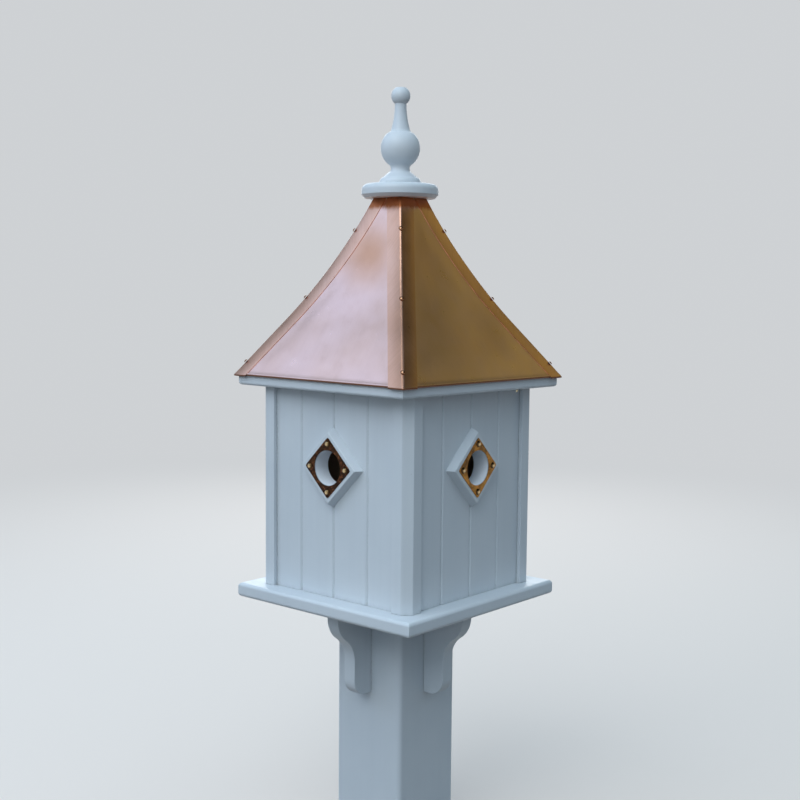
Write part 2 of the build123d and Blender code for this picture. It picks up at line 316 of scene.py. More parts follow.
def split(tree, vector):
    """The x, y and z of a vector."""
    made = tree.nodes.new("ShaderNodeSeparateXYZ")
    link(tree, vector, made.inputs[0])
    return made.outputs[0], made.outputs[1], made.outputs[2]


def stored(tree, name):
    """The vectors that store_vectors left on the mesh under this name."""
    return node(tree, "Attribute", out="Vector", attribute_name=name)


def math_node(tree, operation, a, b):
    """Two values added, multiplied and so on."""
    return node(tree, "Math", {0: a, 1: b}, operation=operation)


def remap(tree, value, low, high, to_low, to_high):
    """From to_low at low to to_high at high, in a straight line."""
    ends = {"From Min": low, "From Max": high, "To Min": to_low, "To Max": to_high}
    return node(tree, "MapRange", {"Value": value, **ends})


def remap_soft(tree, value, low, high):
    """From 0 at low to 1 at high, easing in and out."""
    ends = {"From Min": low, "From Max": high, "To Min": 0.0, "To Max": 1.0}
    return node(tree, "MapRange", {"Value": value, **ends}, interpolation_type="SMOOTHSTEP")


def mixed(tree, factor, a, b):
    """Colour a where the factor is 0 and colour b where it is 1."""
    made = tree.nodes.new("ShaderNodeMix")
    made.data_type = "RGBA"
    link(tree, factor, made.inputs["Factor"])
    link(tree, a, made.inputs[6])
    link(tree, b, made.inputs[7])
    return made.outputs[2]


def noise(tree, coords, scale, detail, stretch=(1, 1, 1), rough=0.5):
    """Noise whose grain is as fine as scale says, in repeats a metre."""
    where = node(tree, "Mapping", {"Vector": coords, "Scale": tuple(scale * s for s in stretch)})
    inputs = {"Vector": where, "Scale": 1.0, "Detail": detail, "Roughness": rough}
    return node(tree, "TexNoise", inputs)


def bump(tree, height, distance, strength, normal=None):
    """A bumped normal, on top of another one where that is given."""
    inputs = {"Height": height, "Distance": distance, "Strength": strength, "Normal": normal}
    return node(tree, "Bump", inputs)


def new_material(name):
    """A material with its node tree and its one shader."""
    material = bpy.data.materials.new(name)
    material.use_nodes = True
    tree = material.node_tree
    tree.nodes.clear()
    shader = tree.nodes.new("ShaderNodeBsdfPrincipled")
    output = tree.nodes.new("ShaderNodeOutputMaterial")
    tree.links.new(shader.outputs[0], output.inputs["Surface"])
    return material, tree, shader


def corner_share(tree, distance, samples):
    """1 deep in a corner and 0 out in the open."""
    open_share = node(tree, "AmbientOcclusion", {"Distance": distance}, out="AO", samples=samples)
    return math_node(tree, "SUBTRACT", 1.0, open_share)


def paint(name, along):
    """Satin white paint over boards whose grain runs along one axis."""
    material, tree, shader = new_material(name)
    coords = node(tree, "TexCoord", out="Object")
    stretch = tuple(0.05 if axis == along else 1.0 for axis in "XYZ")
    cloud = noise(tree, coords, 9, 3)
    brushed = noise(tree, coords, 260, 3, stretch)
    grain = noise(tree, coords, 70, 4, stretch, 0.6)
    peel = noise(tree, coords, 1500, 2)
    dust = noise(tree, coords, 420, 4)
    base = mixed(tree, remap(tree, cloud, 0.3, 0.7, 0, 1), PAINT_DULL, PAINT_FRESH)
    base = mixed(tree, remap(tree, grain, 0.45, 0.75, 0, 0.22), base, PAINT_GRAIN)
    # Painted light: the inside of each entrance is paler, as if lit from outside
    in_bore = node(tree, "Attribute", out="Fac", attribute_name="bore")
    base = mixed(tree, in_bore, base, PAINT_BORE_PAINTED_LIGHT)
    # Dirt and painted shade: darker in corners, creases and joints, where dust gathers and shade
    # falls
    grime_and_corner_shade = math_node(tree, "MULTIPLY", corner_share(tree, distance=0.009, samples=6), dust)
    base = mixed(tree, remap(tree, grime_and_corner_shade, 0.12, 0.5, 0, 0.55), base, PAINT_GRIME_AND_SHADE)
    speck = remap(tree, noise(tree, coords, 900, 1), 0.80, 0.83, 0, 0.6)
    base = mixed(tree, speck, base, PAINT_SPECK)
    link(tree, base, shader.inputs["Base Color"])
    link(tree, remap(tree, brushed, 0.3, 0.7, 0.36, 0.50), shader.inputs["Roughness"])
    shader.inputs["Coat Weight"].default_value = 0.08
    shader.inputs["Coat Roughness"].default_value = 0.25
    lines = bump(tree, brushed, 0.00012, 0.5)
    waves = bump(tree, grain, 0.0003, 0.45, lines)
    link(tree, bump(tree, peel, 0.00005, 0.5, waves), shader.inputs["Normal"])
    return material


def copper(name, warm, pale, foot, lines_seen):
    """Sheet copper: soft clouds, faint rolling lines, a painted cap shadow at the top, painted
    shade in the seams and on a dull hem.

    The mesh's "sheet" says where on the sheet a point lies, and its other stored vector how much
    painted cap shadow, painted warm reflection and painted shade lie there.
    """
    material, tree, shader = new_material(name)
    sheet = stored(tree, "sheet")
    up = split(tree, sheet)[1]
    cap_shadowed, warm_reflection, shaded = split(tree, stored(tree, "painted_light_and_shade"))
    coords = node(tree, "TexCoord", out="Object")
    cloud = noise(tree, coords, 9, 3)
    rolled = noise(tree, sheet, 420, 3, (1, 0.03, 1))
    handled = noise(tree, coords, 45, 5, rough=0.6)
    base = mixed(tree, remap(tree, cloud, 0.34, 0.66, 0, 1), warm, pale)
    darker = tinted(warm, LINE_TINT)
    base = mixed(tree, remap(tree, rolled, 0.42, 0.8, 0, lines_seen), base, darker)
    base = mixed(tree, remap(tree, handled, 0.55, 0.75, 0, 0.15), base, darker)
    # Painted warm reflection: a warm tan tone on the sheets and caps
    base = mixed(tree, warm_reflection, base, tinted(warm, WARM_REFLECTION_TINT))
    base = mixed(tree, shaded, base, tinted(warm, SHADED_TINT))
    # Painted shadow of the round cap on the copper near the top, its edge broken up by streaks
    streaks = noise(tree, sheet, 260, 4, (1, 0.08, 1), 0.6)
    cap_shadow = math_node(tree, "ADD", cap_shadowed, remap(tree, streaks, 0.3, 0.7, -0.22, 0.22))
    base = mixed(tree, remap(tree, cap_shadow, 0.25, 0.8, 0, 0.92), base, COPPER_CAP_SHADOW)
    # Painted shade in creases and seams, broken up by the handling marks
    seam_shade = math_node(tree, "MULTIPLY", corner_share(tree, distance=0.010, samples=8), handled)
    base = mixed(tree, remap(tree, seam_shade, 0.20, 0.45, 0, 0.8), base, COPPER_SEAM_SHADE)
    # Painted shade under the rolled hem, which is also made a little duller
    hem_underside = remap(tree, up, (foot - HEM_BLUR) * MM, (foot + HEM_BLUR) * MM, 1, 0)
    base = mixed(tree, hem_underside, base, COPPER_HEM_SHADE)
    link(tree, base, shader.inputs["Base Color"])
    shader.inputs["Metallic"].default_value = 1.0
    gloss = remap(tree, handled, 0.3, 0.75, 0.27, 0.36)
    gloss = math_node(tree, "ADD", gloss, math_node(tree, "MULTIPLY", hem_underside, 0.2))
    gloss = math_node(tree, "ADD", gloss, math_node(tree, "MULTIPLY", cap_shadowed, 0.12))
    link(tree, gloss, shader.inputs["Roughness"])
    lines = bump(tree, rolled, 0.00002, lines_seen)
    link(tree, bump(tree, cloud, 0.002, 0.25, lines), shader.inputs["Normal"])
    return material


def bronze(name, dark, light, fleck):
    """Guard plate metal, mottled by the weather."""
    material, tree, shader = new_material(name)
    coords = node(tree, "TexCoord", out="Object")
    cloud = noise(tree, coords, 70, 4, rough=0.6)
    spots = noise(tree, coords, 260, 5, rough=0.7)
    pits = noise(tree, coords, 900, 2)
    base = mixed(tree, remap(tree, cloud, 0.38, 0.62, 0, 1), dark, light)
    base = mixed(tree, remap(tree, spots, 0.53, 0.66, 0, 0.85), base, fleck)
    link(tree, base, shader.inputs["Base Color"])
    shader.inputs["Metallic"].default_value = 0.85
    link(tree, remap(tree, spots, 0.3, 0.7, 0.34, 0.58), shader.inputs["Roughness"])
    mottled = bump(tree, spots, 0.0004, 0.5)
    link(tree, bump(tree, pits, 0.0002, 0.6, mottled), shader.inputs["Normal"])
    return material


def fastener(name, bright, dull, rim):
    """Metal of a tack, nail or screw, brighter on its crown than round its rim."""
    material, tree, shader = new_material(name)
    coords = node(tree, "TexCoord", out="Object")
    spots = noise(tree, coords, 700, 4, rough=0.6)
    dark = tinted(dull, (rim, rim, rim))
    outwards = split(tree, stored(tree, "crown"))[0]
    base = mixed(tree, remap(tree, spots, 0.4, 0.7, 0, 0.6), bright, dull)
    base = mixed(tree, remap_soft(tree, outwards, 0.25, 0.82), base, dark)
    # Painted shade where each head sits down on what it holds
    seat = corner_share(tree, distance=0.004, samples=6)
    base = mixed(tree, remap(tree, seat, 0.05, 0.65, 0.0, 0.85), base, dark)
    link(tree, base, shader.inputs["Base Color"])
    shader.inputs["Metallic"].default_value = 1.0
    link(tree, remap(tree, spots, 0.3, 0.7, 0.15, 0.28), shader.inputs["Roughness"])
    link(tree, bump(tree, spots, 0.0002, 0.4), shader.inputs["Normal"])
    return material


def bare_wood(name, along, light, dark):
    """Unpainted softwood with its grain along one axis."""
    material, tree, shader = new_material(name)
    coords = node(tree, "TexCoord", out="Object")
    stretch = tuple(0.04 if axis == along else 1.0 for axis in "XYZ")
    rings = noise(tree, coords, 110, 3, stretch, 0.55)
    fibre = noise(tree, coords, 900, 2, stretch)
    base = mixed(tree, remap(tree, rings, 0.35, 0.65, 0, 1), light, dark)
    base = mixed(tree, remap(tree, fibre, 0.4, 0.8, 0, 0.35), base, dark)
    link(tree, base, shader.inputs["Base Color"])
    link(tree, remap(tree, rings, 0.3, 0.7, 0.62, 0.82), shader.inputs["Roughness"])
    ridges = bump(tree, rings, 0.0006, 0.4)
    link(tree, bump(tree, fibre, 0.0004, 0.5, ridges), shader.inputs["Normal"])
    return material


paint_up = paint("paint_upright", "Z")
paint_x = paint("paint_level", "X")
copper_panel = copper(
    "copper_panel", warm=(0.82, 0.54, 0.44, 1), pale=(0.87, 0.60, 0.53, 1),
    foot=FOLD - PANEL_DROP, lines_seen=0.12,
)
copper_cap = copper(
    "copper_cap", warm=(0.80, 0.48, 0.35, 1), pale=(0.86, 0.56, 0.44, 1),
    foot=FOLD - CAP_DROP, lines_seen=0.45,
)
# Two copies of one plate metal with painted reflections: dark on the front and back, golden on the
# sides
bronze_painted_dark_reflection = bronze(
    "bronze_painted_dark_reflection", dark=(0.016, 0.006, 0.003, 1), light=(0.060, 0.023, 0.008, 1),
    fleck=(0.36, 0.13, 0.05, 1),
)
bronze_painted_gold_reflection = bronze(
    "bronze_painted_gold_reflection", dark=(0.13, 0.060, 0.012, 1), light=(0.42, 0.200, 0.035, 1),
    fleck=(0.80, 0.33, 0.08, 1),
)
tack_metal = fastener("tack_metal", (0.74, 0.56, 0.31, 1), (0.44, 0.24, 0.10, 1), rim=0.16)
nail_metal = fastener("nail_metal", (0.80, 0.47, 0.29, 1), (0.50, 0.24, 0.13, 1), rim=0.5)
screw_metal = fastener("screw_metal_worn", (0.80, 0.70, 0.46, 1), (0.35, 0.28, 0.17, 1), rim=0.4)
# Painted shade: the upright wood inside is very dark, so the inside looks black through the
# entrances
wood_up_shade_dark = bare_wood("wood_upright_painted_shade", "Z", (0.30, 0.20, 0.12, 1), (0.19, 0.115, 0.06, 1))
wood_flat = bare_wood("wood_level", "X", (0.52, 0.37, 0.22, 1), (0.38, 0.24, 0.12, 1))


# House, with the width of its rounded edges in millimetres

FINE_EDGE, BOARD_EDGE, SAWN_EDGE = 0.5, 0.7, 0.9

for side in SIDES:
    wall = softened("wall_" + side, paint_up, FINE_EDGE)
    mark_bore(wall.data, 0 if side in ("front", "back") else 1)
    softened("bracket_" + side, paint_up, SAWN_EDGE, 3)
for corner in CORNERS:
    softened("corner_post_" + corner, paint_up, BOARD_EDGE)
softened("base_board", paint_x, BOARD_EDGE)
softened("eave_board", paint_x, BOARD_EDGE)
softened("post_sleeve", paint_up, FINE_EDGE)


# Entrances


def square_radius(angle, half_diagonal, corner):
    """Distance from the centre of a diamond with rounded corners to its edge."""
    half_side = half_diagonal / math.sqrt(2)
    dx, dy = abs(math.cos(angle - math.pi / 4)), abs(math.sin(angle - math.pi / 4))
    reach = half_side / max(dx, dy)
    if reach * min(dx, dy) <= half_side - corner:
        return reach
    k = half_side - corner
    along = k * (dx + dy)
    return along + math.sqrt(max(along**2 - (2 * k * k - corner**2), 0.0))


def diamond_ring(rows, segments=96):
    """A diamond with a round hole, about the front entrance.

    Each row is (half diagonal, corner radius, distance forward), or (None, radius, distance).
    """
    points, faces = [], []
    for half_diagonal, size, distance in rows:
        for n in range(segments):
            a = 2 * math.pi * n / segments
            r = size if half_diagonal is None else square_radius(a, half_diagonal, size)
            points.append((r * math.cos(a), -distance, ENTRANCE_HEIGHT + r * math.sin(a)))
    count = len(rows)
    for row in range(count):
        for n in range(segments):
            m = (n + 1) % segments
            low, high = row * segments, ((row + 1) % count) * segments
            faces.append((low + n, low + m, high + m, high + n))
    return points, faces


back_diagonal = BLOCK_SIDE / math.sqrt(2)
front_diagonal = back_diagonal - math.sqrt(2) * BLOCK_THICKNESS * math.tan(BLOCK_BEVEL)
block_face = WALL_FACE + BLOCK_THICKNESS
plate_face = block_face + PLATE_THICKNESS
hole = ENTRANCE_RADIUS
block_rows = [
    (back_diagonal, 0.6, WALL_FACE),
    (back_diagonal - 0.2, 0.6, WALL_FACE + 0.4),
    (front_diagonal + 0.75, 0.7, block_face - 1.1),
    (front_diagonal + 0.30, 0.8, block_face - 0.35),
    (front_diagonal - 0.55, 0.8, block_face - 0.03),
    (front_diagonal - 1.6, 0.8, block_face),
    (None, hole + 0.9, block_face),
    (None, hole + 0.35, block_face - 0.2),
    (None, hole, block_face - 0.9),
    (None, hole, WALL_FACE),
]
plate_diagonal = PLATE_SIDE / math.sqrt(2)
plate_hole = ENTRANCE_RADIUS + PLATE_HOLE_MARGIN
plate_rows = [
    (plate_diagonal, PLATE_CORNER, block_face),
    (plate_diagonal, PLATE_CORNER, plate_face - 0.25),
    (plate_diagonal - 0.15, PLATE_CORNER, plate_face - 0.06),
    (plate_diagonal - 0.5, PLATE_CORNER, plate_face),
    (None, plate_hole + 0.3, plate_face),
    (None, plate_hole + 0.08, plate_face - 0.06),
    (None, plate_hole, plate_face - 0.25),
    (None, plate_hole, block_face),
]


def seated_heads(places, head, segments=40):
    """Domed heads joined into one mesh, each set by its own matrix.

    The mesh's "crown" gives how far out on its head a point lies, from 0 to 1.
    """
    points, faces, crown = [], [], []
    own_points, own_faces = lathe(dome_profile(head), segments)
    for place in places:
        first = len(points)
        points += [tuple(place @ Vector(p)) for p in own_points]
        faces += [[first + i for i in f] for f in own_faces]
        crown += [(math.hypot(x, y) / head[0], 0.0, 0.0) for x, y, _ in own_points]
    mesh = mesh_from(points, faces)
    store_vectors(mesh, "crown", crown)
    return mesh


def tack_place(angle):
    """Where a tack of the front plate sits, facing forward."""
    x, z = TACK_CIRCLE * math.cos(angle), TACK_CIRCLE * math.sin(angle)
    seat = Matrix.Translation((x, -plate_face, ENTRANCE_HEIGHT + z))
    return seat @ Matrix.Rotation(math.pi / 2, 4, "X")


tack_places = [tack_place(a) for a in (0, math.pi / 2, math.pi, 1.5 * math.pi)]

for quarter, side in enumerate(SIDES):
    turn = quarter_turn(quarter)
    block = sharp_folds(mesh_from(*diamond_ring(block_rows)), 40)
    mark_bore(block, 0)
    weighted(add_piece(
        "block_" + side, ["entrance_block_" + side], block, paint_up, turn,
    ))
    metal = bronze_painted_dark_reflection if side in ("front", "back") else bronze_painted_gold_reflection
    plate = sharp_folds(mesh_from(*diamond_ring(plate_rows)), 40)
    weighted(add_piece(
        "plate_" + side, ["entrance_plate_" + side], plate, metal, turn,
    ))
    add_piece(
        "tacks_" + side, ["entrance_tacks_" + side],
        seated_heads(tack_places, TACK_HEAD), tack_metal, turn,
    )


# Roof, in millimetres

STAND_OFF = 0.30
WAVE_ACROSS, WAVE_UP = 19, 23
HIP_CROWDING = 0.35
# Painted shadow under the round cap: how far below the top it starts and is full, and its slant
CAP_SHADOW_START, CAP_SHADOW_FULL = 19, 7
CAP_SHADOW_SLANT = 0.16
WARM_REFLECTION_CENTRES = (-2, -20, -6, 18)
WARM_REFLECTION_STRENGTHS = (0.85, 0.2, 0.4, 0.3)
# Painted warm reflection on the hip caps: all over, and a little stronger towards the foot
CAP_WARMTH, CAP_FOOT_WARMTH = 0.22, 0.08
CAP_FADE = (20, 190)
CAP_SETTLE = 0.15
HEM_PROUD = 0.2


def smooth_step(value, low, high):
    """From 0 at low to 1 at high, easing in and out."""
    t = min(max((value - low) / (high - low), 0.0), 1.0)
    return t * t * (3 - 2 * t)


def panel_wave(x, height, reach, phase):
    """How far a sheet stands off its curve between the hips, where nothing holds it down."""
    free = smooth_step(reach - abs(x), CAP_LEG, CAP_LEG + 30)
    free *= smooth_step(height, 2, 30) * smooth_step(ROOF_RISE - height, 20, 60)
    wave = math.sin(x / WAVE_ACROSS + phase) * math.sin(height / WAVE_UP + 2 * phase)
    return STAND_OFF * free * (1 + wave)


def cap_shadow_share(x, height, slant):
    """How much painted shadow of the round cap lies on a sheet just below it, reaching further down
    towards one hip.
    """
    return smooth_step(height + slant * x, ROOF_RISE - CAP_SHADOW_START, ROOF_RISE - CAP_SHADOW_FULL)


def patch(x, height, centre, reach, lean=0.0):
    """A soft round patch, 1 at its centre and 0 at its reach, that climbs by lean for each x."""
    across, up = (x - centre[0]) / reach[0], (height - centre[1] - lean * x) / reach[1]
    return 1 - smooth_step(math.hypot(across, up), 0.0, 1.0)


def warm_reflection_share(x, height, quarter):
    """A painted warm reflection, as a soft patch high on each sheet."""
    centre = (WARM_REFLECTION_CENTRES[quarter], 156)
    return WARM_REFLECTION_STRENGTHS[quarter] * patch(x, height, centre, reach=(88, 60), lean=-0.2)


def shade_share(x, height, quarter):
    """Darker clouds, which only two of the sheets have."""
    if quarter % 2 == 0:
        return 0.0
    lower = patch(x, height, centre=(-58, 22), reach=(70, 52))
    upper = patch(x, height, centre=(-26, 98), reach=(44, 24), lean=0.3)
    return 0.16 * lower + 0.08 * upper


def sheet_painted_light_and_shade(x, height, quarter, slant):
    """How much painted cap shadow, painted warm reflection and painted shade a place on a roof
    sheet has.
    """
    warm_reflection, shaded = warm_reflection_share(x, height, quarter), shade_share(x, height, quarter)
    return cap_shadow_share(x, height, slant), warm_reflection, shaded


def panel_section():
    """The sheet's section as (offset, height): down outside, round the hem and up inside."""
    low, high = -PANEL_DROP, ROOF_RISE - PANEL_TOP_GAP
    rows = 72
    hem = low + HEM_HEIGHT + 1.2
    heights = [high + (hem - high) * n / rows for n in range(rows + 1)]
    section = [(COPPER, h) for h in heights]
    proud = COPPER + HEM_PROUD
    section += [(COPPER + 0.12, hem - 0.5), (proud, hem - 1.0), (proud, low + FOLD)]
    roll = 9
    for n in range(1, roll + 1):
        a = math.pi / 2 * n / roll
        section.append((proud - FOLD * (1 - math.cos(a)), low + FOLD * (1 - math.sin(a))))
    section += [(COPPER - FOLD - 0.1, low + 0.4), (COPPER - FOLD + 0.1, low + FOLD)]
    section += [(0.0, low + FOLD + 0.6)]
    section += [(0.0, h) for h in reversed(heights)]
    return section


def roof_panel(quarter, columns=64):
    """The front sheet's mesh, waved, and with the painted shadow, reflection and shade of the sheet
    of that quarter.

    The phase is the third coordinate of "sheet", so that each sheet has streaks of its own.
    """
    phase = 0.9 + 1.7 * quarter
    slant = CAP_SHADOW_SLANT if quarter % 2 == 0 else -CAP_SHADOW_SLANT
    section = panel_section()
    points, faces, where, painted_light_and_shade = [], [], [], []
    for column in range(columns + 1):
        even = -1 + 2 * column / columns
        across = math.sin(even * math.pi / 2) * HIP_CROWDING + even * (1 - HIP_CROWDING)
        for offset, height in section:
            reach = roof_reach(height, offset)
            x = across * reach
            wave = panel_wave(x, height, reach, phase)
            points.append((x, -roof_reach(height, offset + wave), EAVE_TOP + height))
            where.append((x * MM, height * MM, phase))
            painted_light_and_shade.append(sheet_painted_light_and_shade(x, height, quarter, slant))
    count = len(section)
    for column in range(columns):
        for row in range(count):
            nxt = (row + 1) % count
            a, b = column * count, (column + 1) * count
            faces.append((a + row, a + nxt, b + nxt, b + row))
    faces.append(tuple(range(count)))
    faces.append(tuple(columns * count + row for row in reversed(range(count))))
    mesh = mesh_from(points, faces)
    store_vectors(mesh, "sheet", where)
    store_vectors(mesh, "painted_light_and_shade", painted_light_and_shade)
    return mesh


def cap_section(height, phase, across=14, round_steps=8):
    """A level cut through the front right hip cap as (x, y, way it faces), outside, then inside."""
    foot = max(0.0, FOLD - CAP_DROP - height)
    tuck = FOLD - math.sqrt(FOLD**2 - foot**2)
    bend = BEND * (1 + 0.12 * math.sin(height / 17 + phase))
    corner = roof_reach(height, 2 * COPPER - tuck)
    under = roof_reach(height, COPPER - tuck)
    leg = []
    for n in range(across + 1):
        s = CAP_LEG + (bend - CAP_LEG) * n / across
        settle = CAP_SETTLE if n == 0 else 0.0
        leg.append((corner - s, -corner + settle, LEG_ROLL * (1 - s / CAP_LEG)))
    outer = list(leg)
    first = leg[-1][2]
    for n in range(1, round_steps):
        a = math.pi / 2 * n / round_steps
        x, y = corner - bend + bend * math.sin(a), -corner + bend - bend * math.cos(a)
        outer.append((x, y, first + (math.pi / 2 - 2 * first) * n / round_steps))
    outer += [(-y, -x, math.pi / 2 - faces) for x, y, faces in reversed(leg)]
    left = [(corner - CAP_LEG, -under), (under - 1.0, -under)]
    right = [(-y, -x) for x, y in reversed(left)]
    return outer + [(x, y, None) for x, y in reversed(left + right)]


def hip_cap(phase, rows=84):
    """The cap's mesh, with the way its outside faces at each corner of each face."""
    points, faces, where, painted_light_and_shade, facing = [], [], [], [], []
    fine = [-CAP_DROP + FOLD * n / 6 for n in range(7)]
    heights = fine + [fine[-1] + (ROOF_RISE - fine[-1]) * n / rows for n in range(1, rows + 1)]
    for height in heights:
        section = cap_section(height, phase)
        fall = 1 / math.tan(SLOPE)
        if height > STRAIGHT_RISE:
            below = CENTRE_HEIGHT - height
            fall = below / math.sqrt(CURVE_RADIUS**2 - below**2)
        for x, y, turned in section:
            points.append((x, y, EAVE_TOP + height))
            where.append(((x - y) * MM, height * MM, phase))
            # Painted warm reflection, and the painted shadow of the round cap near the top
            warmth = CAP_WARMTH + CAP_FOOT_WARMTH * (1 - smooth_step(height, *CAP_FADE))
            painted_light_and_shade.append((cap_shadow_share(0, height + 1, 0), warmth, 0.0))
            if turned is None or height < fine[-1]:
                facing.append(None)
            else:
                sine, cosine = math.sin(turned), math.cos(turned)
                facing.append(Vector((sine, -cosine, fall * (sine + cosine))).normalized())
    count = len(section)
    last = len(heights) - 1
    for row in range(last):
        for n in range(count):
            m = (n + 1) % count
            a, b = row * count, (row + 1) * count
            faces.append((a + n, a + m, b + m, b + n))
    faces.append(tuple(reversed(range(count))))
    faces.append(tuple(last * count + n for n in range(count)))
    mesh = sharp_folds(mesh_from(points, faces), 35)
    store_vectors(mesh, "sheet", where)
    store_vectors(mesh, "painted_light_and_shade", painted_light_and_shade)
    # A zero vector leaves a corner the normal that Blender finds
    normals = []
    for polygon in mesh.polygons:
        known = [facing[v] for v in polygon.vertices]
        if len(known) > 4 or None in known:
            known = [Vector()] * len(known)
        normals += [tuple(n) for n in known]
    mesh.normals_split_custom_set(normals)
    return mesh


def hip_nail_places():
    """Where the nails of the front right hip sit, square to it."""
    places = []
    for share in NAIL_SHARES:
        height = share * ROOF_RISE
        seat = math.sqrt(2) * roof_reach(height, 2 * COPPER)
        above = math.sqrt(2) * roof_reach(height + NAIL_HEAD[0], 2 * COPPER)
        tilt = math.atan2(NAIL_HEAD[0], seat - above)
        places.append(
            Matrix.Rotation(-math.pi / 4, 4, "Z")
            @ Matrix.Translation((seat, 0, EAVE_TOP + height))
            @ Matrix.Rotation(tilt, 4, "Y")
        )
    return places


for quarter, (side, corner) in enumerate(zip(SIDES, CORNERS)):
    turn = quarter_turn(quarter, ROOF_TURN)
    panel = sharp_folds(roof_panel(quarter), 35)
    add_piece("copper_" + side, ["roof_panel_" + side], panel, copper_panel, turn)
    cap = hip_cap(0.4 + 2.3 * quarter)
    add_piece("cap_" + corner, ["hip_cap_" + corner], cap, copper_cap, turn)
    add_piece(
        "nails_" + corner, ["hip_nails_" + corner],
        seated_heads(hip_nail_places(), NAIL_HEAD, 32), nail_metal, turn,
    )


# Round cap and finial, by radius and height in millimetres


def round_cap_profile():
    """A disc bevelled below and rounded above."""
    side, top, flat = CAP_RADIUS, CAP_THICKNESS, CAP_RADIUS - CAP_TOP_ROUND
    bottom, side_low = (side - CAP_BEVEL, 0.0), (side, CAP_BEVEL)
    shoulder = (side, top - CAP_TOP_ROUND)
    middle = CAP_TOP_ROUND * math.sqrt(0.5)
    profile = [(0.0, 0.0)]
    profile += eased(bottom, (0, 0), side_low, 0.5)
    profile += eased(side_low, bottom, shoulder, 0.5)
    profile.append((side, shoulder[1] - 0.2))
    profile += arc(shoulder, (flat + middle, shoulder[1] + middle), (flat, top), 14)
    profile += [(30.0, top), (0.0, top)]
    return profile


def bulge(start, end, radius, count):
    """A convex arc of a profile from one point up to another."""
    one, two = Vector(start), Vector(end)
    half = (two - one) / 2
    out = Vector((half.y, -half.x)).normalized()
    rise = radius - math.sqrt(radius**2 - half.length**2)
    return arc(start, tuple(one + half + out * rise), end, count)


def finial_profile():
    """A turned foot, a ball on a neck, and a spire with a knob."""
    ball, ball_height, neck = 26.2, 47.2, (12.6, 21.0)
    knob, knob_height, top = 12.7, 115.4, 126.2
    flare_height, shoulder_height = 25.5, 66.8
    flare = (math.sqrt(ball**2 - (ball_height - flare_height) ** 2), flare_height)
    shoulder = (math.sqrt(ball**2 - (shoulder_height - ball_height) ** 2), shoulder_height)
    spire_foot, spire_waist = (13.2, 69.3), (9.3, 85.5)
    spire_head = (7.7, knob_height - math.sqrt(knob**2 - 7.7**2))
    crown = (math.sqrt(knob**2 - (top - knob_height) ** 2), top)
    foot, step, cove = (27.5, 3.0), (22.9, 9.1), (16.3, 14.8)
    profile = [(0.0, 0.0), (27.1, 0.0), (27.5, 0.4), foot]
    profile += bulge(foot, step, 7.5, 10)
    profile += [(22.5, 9.15), (22.2, 9.5), cove]
    profile += arc(cove, neck, flare, 22)
    profile += arc(flare, (ball, ball_height), shoulder, 44)
    profile += [(shoulder[0] - 0.5, shoulder[1] + 0.1), (14.1, 68.5)]
    profile += arc(spire_foot, spire_waist, spire_head, 26)
    profile += arc(spire_head, (knob, knob_height), crown, 30)[:-1]
    profile += eased(crown, profile[-1], (0, top), 0.8)
    profile += [(2.0, top), (0.0, top)]
    return profile


turn = quarter_turn(0, ROOF_TURN)
cap = mesh_from(*lathe(round_cap_profile(), 160))
add_piece(
    "turned_cap", ["round_cap"], sharp_folds(cap, 35), paint_x,
    Matrix.Translation((0, 0, CAP_SEAT * MM)),
)
finial = mesh_from(*lathe(finial_profile(), 128))
add_piece(
    "turned_finial", ["finial"], sharp_folds(finial, 28), paint_up,
    Matrix.Translation((0, 0, (CAP_SEAT + CAP_THICKNESS) * MM)) @ turn,
)


# The pieces that stay as the solids made them


def dress(name, material):
    """Gives a CAD node one material."""
    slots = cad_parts[name].data.materials
    slots.clear()
    slots.append(material)
    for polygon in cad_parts[name].data.polygons:
        polygon.material_index = 0


dress("divider_upper_slot", wood_up_shade_dark)
dress("divider_lower_slot", wood_up_shade_dark)
for side in SIDES:
    dress("roof_cleat_" + side, wood_flat)
for corner in CORNERS:
    dress("hip_rafter_" + corner, wood_flat)
dress("top_block", wood_flat)
dress("finial_dowel", wood_up_shade_dark)
dress("eave_screws", screw_metal)


# Floor, light and camera, in metres

HORIZON = (0.62, 0.64, 0.66, 1)
HORIZON_TOP, UPPER_START = 0.225, 0.29
FLOOR = (0.72, 0.63, 0.57, 1)
FLOOR_GLOW = (0.10, 0.10, 0.10, 1)
FLOOR_LIFT = 0.04
FLOOR_RINGS = (0.0, 0.5, 1, 2, 4, 8, 16, 40)
FADE_START, FADE_END = 0.9, 4.0
OVERHEAD = (0.19, 0.23, 0.27, 1)
DARK_CORNER = (0.032, 0.026, 0.010, 1)
WARM_CARD = (0.43, 0.375, 0.100, 1)
DIM_CARD = (0.23, 0.20, 0.060, 1)
WARM_SIDE, WARM_REACH = (0.36, 0.82, 0.33), (0.91, 0.985)
DARK_SIDE, DARK_REACH = (0.66, 0.74, 0.10), (0.30, 0.74)
LEAF_SHARES = (0.36, 0.62)
FRONT_REACH = (0.15, 1.0)
LOW_LIGHT = (0.030, 0.040, 0.050, 1)
FRONT_LIGHT = (0.30, 0.36, 0.41, 1)
HIGH_LIGHT = (0.70, 0.93, 1.12, 1)
LAMP_TARGET = Vector((0, 0, 0.55))
LENS, SENSOR = 55.03, 36.0
EYE = (1.07779, -1.24189, 0.74849)
FORWARD = (-0.65163, 0.75303, -0.09122)
RIGHT = (0.75564, 0.65493, 0.00858)


def seen_directly(tree):
    """1 for rays from the camera and for reflections and glass, and 0 for diffuse light."""
    path = tree.nodes.new("ShaderNodeLightPath").outputs
    seen = math_node(tree, "MAXIMUM", path["Is Camera Ray"], path["Is Glossy Ray"])
    return math_node(tree, "MAXIMUM", seen, path["Is Transmission Ray"])


